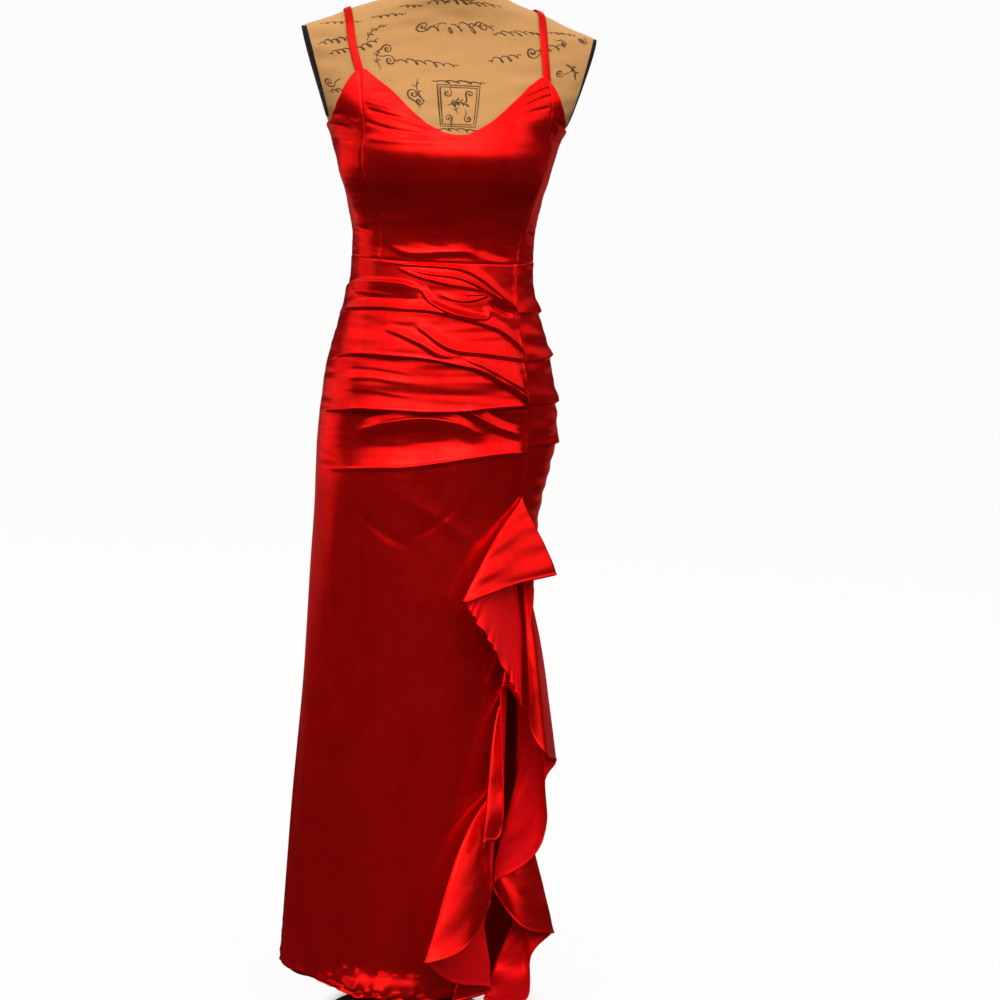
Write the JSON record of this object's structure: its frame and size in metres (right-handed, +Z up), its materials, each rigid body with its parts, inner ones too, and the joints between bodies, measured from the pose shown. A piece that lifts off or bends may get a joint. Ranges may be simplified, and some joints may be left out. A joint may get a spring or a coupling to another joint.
{
  "type": "slip dress on a dress form",
  "caption": "Full-length satin slip dress with thin straps, a V neck, a ruched hip and a flounced side slit, worn by a limbless dress form on a pole and round base.",
  "frame": {"origin": "centre of the base's underside, on the floor, in line with the pole", "axes": "+Z up along the pole, the dress faces -Y, and the slit is on the wearer's left, at +X"},
  "size_m": [0.3972, 0.3975, 1.5461],
  "materials": {
    "satin": "glossy satin",
    "linen": "plain woven linen",
    "black_board": "matt black",
    "black_metal": "satin black paint"
  },
  "bodies": {
    "root": {"bodice_centre_front": "satin", "bodice_side_front_r": "satin", "bodice_side_front_l": "satin", "bodice_back": "satin", "strap_r": "satin", "strap_l": "satin", "skirt_front": "satin", "skirt_side": "satin", "skirt_back": "satin", "flounce_front": "satin", "flounce_side": "satin", "form_torso": "linen", "arm_plate_r": "black_board", "arm_plate_l": "black_board", "neck_cap": "black_board", "pole": "black_metal", "base": "black_metal"}
  },
  "joints": []
}
